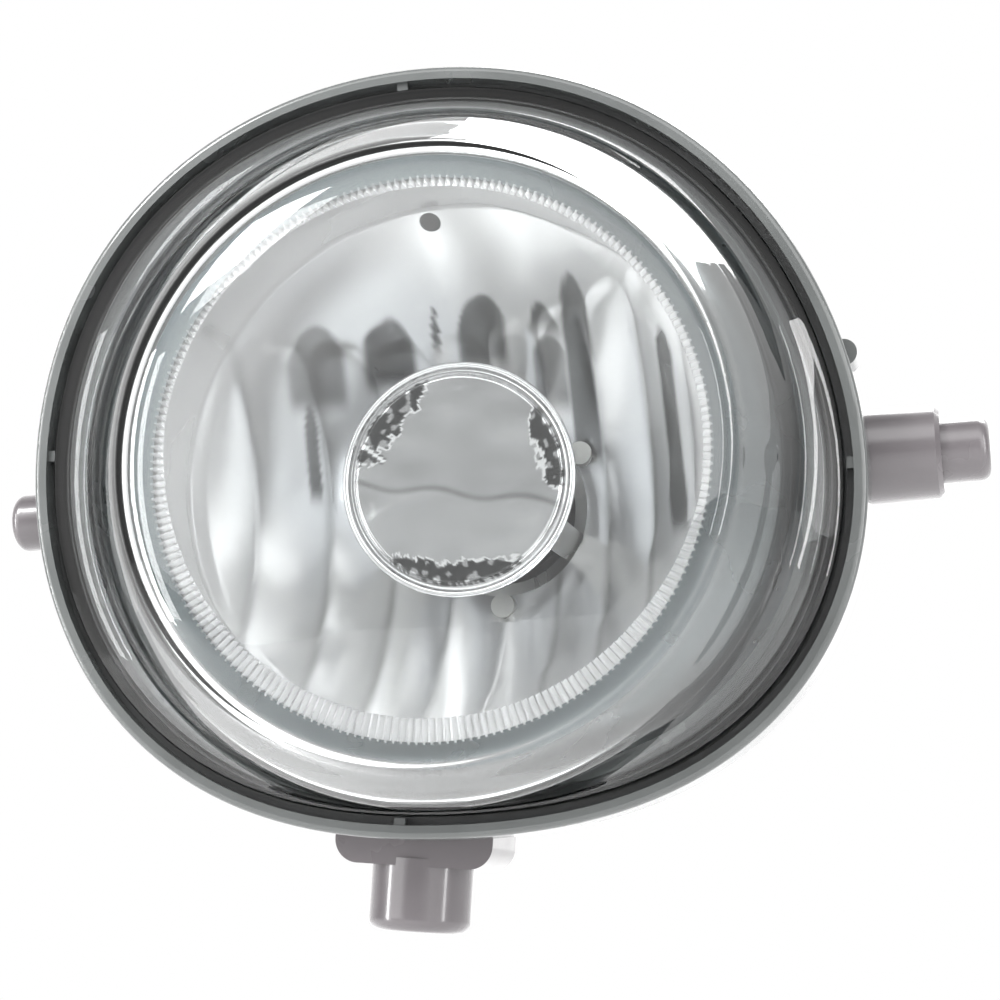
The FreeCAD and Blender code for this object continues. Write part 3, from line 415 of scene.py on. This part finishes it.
def reflector_tone(x, y, z):
    """Near white; the flutes' reflection of the dark back of the shield is painted in as grey arches above
    it, and painted shade darkens the flute seams.
    """
    tone = 1.0
    behind = y - SHIELD_FRONT
    nearer = VIEW_DISTANCE / (VIEW_DISTANCE + behind)
    across = (x + VIEW_ACROSS * behind) * nearer
    height = (z + VIEW_RISE * behind) * nearer
    lean = across + 0.05 * height
    # each arch paints the flutes' reflection of the shield's dark back in grey
    for middle, half, low, high, level in SHIELD_REFLECTION_ARCHES:
        off = abs(lean - middle) / half
        if off >= 1.25:
            continue
        wobble = 1.4 * noise.noise(Vector((x * 0.35, z * 0.2, middle)))
        crown = high - 3.0 * off * off + wobble
        side = step_up((1.25 - off) / 0.4)
        body = side * step_up((crown - height) / 1.0) * step_up((height - low) / 3.5)
        mottled = level + 0.16 * noise.noise(Vector((x * 0.3, z * 0.12, 7.0 + middle)))
        tone = tone + (mottled - tone) * body
    # painted shade along each flute seam, fading out above the flute tops
    share = ((x - FLUTE_START) / FLUTE_WIDTH) % 1.0
    seam = min(share, 1.0 - share) * FLUTE_WIDTH
    tone *= 1.0 - 0.34 * math.exp(-(seam / 0.55) ** 2) * step_up((FLUTE_TOP + 2.0 - z) / 4.0)
    return tone * (1.0 + 0.03 * noise.noise(Vector((x * 0.4, z * 0.1, 2.0))))


def make_reflector():
    vertices, faces = sweep(reflector_paths(), True)
    bowl = new_piece("reflector_bowl", vertices, faces, MATERIALS["reflector"], sharp=55.0)
    x, z, radius = VENT_HOLE
    y = parabola(z)
    cut_with(bowl, rod_between(Vector((x, y - 4, z - 1.5)), Vector((x, y + 8, z + 3)), radius))
    paint(bowl, reflector_tone)
    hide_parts("reflector")


make_reflector()


# ----------------------------------------------------------------------------------- bulb shield
MIRROR_RADIUS = 13.6


def dent(x, z):
    """Waviness of the pressed sheet, in mm."""
    wave = 0.05 * math.sin(0.55 * x + 1.1) * math.cos(0.42 * z - 0.4)
    crease_line = z + 2.2 + 0.22 * x * math.cos(0.25 * x)
    return wave - 0.035 * math.exp(-(crease_line / 0.8) ** 2)


# painted dark reflections round the mirror's edge: middle angle and half width in degrees, reach in mm
DARK_REFLECTION_PATCHES = ((138, 34, 3.4), (14, 26, 2.6), (266, 42, 2.8))


def shield_tone(x, y, z):
    """Grey chrome with painted reflections: dark ragged patches with bright edges round the mirror, a faint
    dark line across it with a lighter part below, and a slit painted as a bright highlight between dark
    edges.
    """
    radius = math.hypot(x, z)
    if radius > MIRROR_RADIUS or y > SHIELD_FRONT + 0.45:
        return 0.58
    angle = math.degrees(math.atan2(z, x))
    reach = 0.0
    for middle, half, depth in DARK_REFLECTION_PATCHES:
        off = abs((angle - middle + 180) % 360 - 180) / half
        reach = max(reach, depth * max(0.0, 1 - off ** 3))
    ragged = 1.1 * noise.noise(Vector((x * 0.55, z * 0.55, 3.0)))
    ragged += 0.6 * noise.noise(Vector((x, z, 8.0)) * 1.4)
    edge = radius + ragged - (MIRROR_RADIUS - reach)
    cloud = noise.noise(Vector((x * 0.16, z * 0.3, 1.0)))
    # slow random variation; below the line across the mirror a touch lighter, and the line itself darker:
    # both painted reflection
    tone = 0.47 + 0.1 * cloud + (0.04 if z < -2 - 0.16 * x else 0.0)
    line = z + 1.9 + 0.16 * x + 0.45 * math.sin(0.55 * x)
    tone *= 1 - 0.38 * math.exp(-(line / 0.38) ** 2)
    # inside a patch: painted dark reflection with lighter streaks; in a thin band just outside it: painted
    # bright edge
    if reach > 0.2 and edge > 0:
        streak = noise.noise(Vector((x * 0.9, z * 0.9, 5.0)))
        tone = 0.06 if streak < 0.22 else 0.42
    elif reach > 0.2 and edge > -0.35:
        tone = 0.85
    # the slit, painted as a bright highlight between dark painted edges
    along = ((x + 12.9) * 3.4 - (z - 5.8) * 2.9) / 4.47
    across = abs((x + 12.9) * 2.9 + (z - 5.8) * 3.4) / 4.47
    if -0.2 < along < 4.5 and across < 0.5:
        tone = 0.95 if across < 0.26 else 0.15
    return tone


def make_shield():
    """Pressed cap: wavy mirror, a groove, a rolled double rim and the collar behind it."""
    profile = [(MIRROR_RADIUS, 0.1), (13.85, 0.45), (14.1, 0.5), (14.3, 0.2), (14.5, -0.12), (14.75, -0.22),
               (15.0, -0.1), (15.2, 0.25), (15.1, 0.6), (14.7, 0.8), (12.6, 0.8), (12.3, 1.1), (12.3, 5.3),
               (12.0, 5.5), (11.7, 5.3), (11.7, 1.0), (11.2, 0.7)]
    discs = 56
    paths = []
    for angle in angles(280):
        c = math.cos(angle)
        s = math.sin(angle)
        path = []
        for step in range(discs):
            radius = (MIRROR_RADIUS - 0.15) * step / discs
            edge = min(1.0, (MIRROR_RADIUS - radius) / 2.0)
            ripple = 0.16 * max(0.0, radius - 11.3) * math.sin(5 * angle + 0.6) * math.sin(9 * angle)
            depth = SHIELD_FRONT - 0.25 + dent(radius * c, radius * s) * edge + 0.35 * ripple * edge
            path.append(Vector((radius * c, depth, radius * s)))
        path += [Vector((r * c, SHIELD_FRONT + y, r * s)) for r, y in profile]
        path.append(Vector((0.0, SHIELD_FRONT + 0.6, 0.0)))
        paths.append(path)
    vertices, faces = sweep(paths, True)
    cap = new_piece("shield_cap", vertices, faces, MATERIALS["bulb_shield_cap"], sharp=60.0)
    paint(cap, shield_tone)
    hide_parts("bulb_shield_cap")


make_shield()


# ---------------------------------------------------------------------------------- knurled ring
KNURL_TEETH = 230
KNURL_OUTER = 34.9
KNURL_FRONT = -12.9


def make_knurl():
    """Ring of small prisms moulded round the mouth of the reflector, broadest at the bottom."""
    vertices = []
    faces = []
    for step, angle in enumerate(angles(KNURL_TEETH)):
        half = math.pi / KNURL_TEETH * 0.82
        below = max(0.0, math.cos(angle + math.radians(90 + 12)))
        inner = 33.6 - 1.9 * below
        tip = KNURL_FRONT - 0.5 - 0.1 * random.random()
        root = KNURL_FRONT + 0.4
        corners = [(inner, angle - half, root), (inner, angle + half, root),
                   (KNURL_OUTER, angle + half, root), (KNURL_OUTER, angle - half, root),
                   (inner + 0.25, angle, tip), (KNURL_OUTER - 0.2, angle, tip)]
        base = len(vertices)
        vertices += [(r * math.cos(a), y, r * math.sin(a)) for r, a, y in corners]
        for face in ((0, 1, 2, 3), (0, 4, 1), (2, 5, 3), (1, 4, 5, 2), (3, 5, 4, 0)):
            faces.append(tuple(base + index for index in face))
    ring = new_piece("knurled_ring", vertices, faces, MATERIALS["reflector"], sharp=20.0)
    paint(ring, lambda x, y, z: 0.8)


make_knurl()


# ------------------------------------------------------------------------------------------ lens
LENS_WALL = 2.1
LENS_CENTRE = (-0.8, 0.9)


def make_lens():
    crease = ring_point(43.3, -3.4, LENS_CENTRE)
    inner_crease = ring_point(41.2, -1.4, LENS_CENTRE)
    outer = [
        (outline_point(2.8, 3.6), 0.0), (outline_point(2.8, -0.6), 0.7),
        (outline_point(3.5, -1.2), 0.7), (between(outline_point(3.5, -3.4), crease, 0.62), 2.5),
        (ring_point(43.3, -8.0, LENS_CENTRE), 0.9),
        (ring_point(38.7, -16.6), 2.6), (ring_point(36.6, -18.7), 2.4),
    ]
    inner = [
        (ring_point(34.7, -16.7), 2.0), (ring_point(36.8, -15.4), 2.0),
        (ring_point(41.2, -7.2, LENS_CENTRE), 1.4),
        (between(outline_point(5.4, -1.4), inner_crease, 0.55), 2.0),
        (outline_point(5.4, 0.4), 0.6),
        (outline_point(5.0, 3.6), 0.0),
    ]
    crown_rings = 14
    rim_radius = 36.0
    rise = LENS_FRONT - 18.9
    sphere = (rim_radius ** 2 + rise ** 2) / (2 * rise)

    def crown(radius, drop):
        return -LENS_FRONT + drop + sphere - math.sqrt(sphere ** 2 - radius ** 2)

    paths = []
    for angle in angles(240):
        path = rounded_path(outer, angle)[:-1]
        for step in range(crown_rings):
            radius = 34.0 * (1 - step / (crown_rings - 1))
            path.append(ring_point(radius, crown(radius, 0.0))(angle))
        for step in range(crown_rings):
            radius = 33.0 * step / (crown_rings - 1)
            path.append(ring_point(radius, crown(radius, LENS_WALL))(angle))
        path += rounded_path(inner, angle)[1:]
        paths.append(path)
    vertices, faces = sweep(paths, True)
    lens = new_piece("lens_glass", vertices, faces, MATERIALS["lens"], sharp=70.0)
    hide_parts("lens")


make_lens()


# ---------------------------------------------------------------------------------- camera, lights
def make_camera():
    yaw = math.radians(11.5)
    pitch = math.radians(-9.5)
    roll = math.radians(2.5)
    back = Vector((math.sin(yaw) * math.cos(pitch), -math.cos(yaw) * math.cos(pitch), math.sin(pitch)))
    right = Vector((math.cos(yaw), math.sin(yaw), 0))
    up = right.cross(-back)
    rolled_right = right * math.cos(roll) - up * math.sin(roll)
    rolled_up = right * math.sin(roll) + up * math.cos(roll)
    data = bpy.data.cameras.new("camera")
    data.lens = 93.6
    data.sensor_width = 36.0
    data.clip_start = 0.01
    camera = bpy.data.objects.new("camera", data)
    camera.matrix_world = Matrix((rolled_right, rolled_up, back)).transposed().to_4x4()
    camera.location = at(6.26, 0.0, -3.93) + back * 0.325
    bpy.context.scene.collection.objects.link(camera)
    bpy.context.scene.camera = camera


def area_light(name, place, width, height, power):
    """Soft box that faces the lamp.  Place is in mm in the lamp's axes."""
    data = bpy.data.lights.new(name, "AREA")
    data.shape = "RECTANGLE"
    data.size = width
    data.size_y = height
    data.energy = power
    light = bpy.data.objects.new(name, data)
    light.location = at(*place)
    light.rotation_euler = (at(0, 0, 0) - light.location).to_track_quat("-Z", "Y").to_euler()
    bpy.context.scene.collection.objects.link(light)


# brightness of the studio, from straight in front of the lamp (0) to straight behind it (1)
STUDIO_LEVELS = ((0.0, 0.85), (0.035, 0.95), (0.085, 3.7), (0.21, 3.5), (0.33, 1.3), (0.5, 0.5),
                 (0.68, 1.2), (1.0, 1.9))


def make_world():
    """White studio; seen from the lamp it is bright all round and a middle grey in front."""
    world = bpy.data.worlds.new("studio")
    bpy.context.scene.world = world
    world.use_nodes = True
    nodes = world.node_tree.nodes
    links = world.node_tree.links
    background = nodes["Background"]
    direction = nodes.new("ShaderNodeTexCoord").outputs["Generated"]
    parts = nodes.new("ShaderNodeSeparateXYZ")
    links.new(direction, parts.inputs[0])
    front = nodes.new("ShaderNodeValToRGB")
    shade = nodes.new("ShaderNodeMapRange")
    shade.inputs["From Min"].default_value = -1.0
    shade.inputs["From Max"].default_value = 1.0
    links.new(parts.outputs["Y"], shade.inputs["Value"])
    links.new(shade.outputs["Result"], front.inputs["Fac"])
    while len(front.color_ramp.elements) < len(STUDIO_LEVELS):
        front.color_ramp.elements.new(0.5)
    for element, (position, level) in zip(front.color_ramp.elements, STUDIO_LEVELS):
        element.position = position
        element.color = (level, level, level, 1.0)
    path = nodes.new("ShaderNodeLightPath")
    seen = blend_colour(nodes, links, path.outputs["Is Camera Ray"], front.outputs["Color"], (1.0, 1.0, 1.0))
    links.new(seen, background.inputs["Color"])


def make_floor():
    """Pale round floor, well under the lamp."""
    radius = 3.0
    sides = 96
    points = [(0.0, 0.0, 0.0)] + [(radius * math.cos(a), radius * math.sin(a), 0.0) for a in angles(sides)]
    faces = [(0, i + 1, (i + 1) % sides + 1) for i in range(sides)]
    mesh = bpy.data.meshes.new("floor")
    mesh.from_pydata([Vector(point) + at(0, 0, -190) for point in points], [], faces)
    mesh.materials.append(surface("floor_pale", (0.86, 0.86, 0.86), 0.6, mottle=0.02, mottle_scale=6.0))
    floor = bpy.data.objects.new("floor", mesh)
    bpy.context.scene.collection.objects.link(floor)


make_camera()
make_world()
make_floor()
area_light("key", (-450, -500, 520), 0.25, 0.25, 4.5)
area_light("left_strip", (-720, -330, -40), 0.08, 0.9, 5.0)
area_light("right_strip", (720, -300, 60), 0.08, 0.8, 2.2)
area_light("low_strip", (60, -420, -620), 0.9, 0.08, 3.5)
area_light("top_rear", (160, 420, 560), 0.5, 0.4, 3.8)
bpy.context.scene.view_settings.view_transform = "Standard"
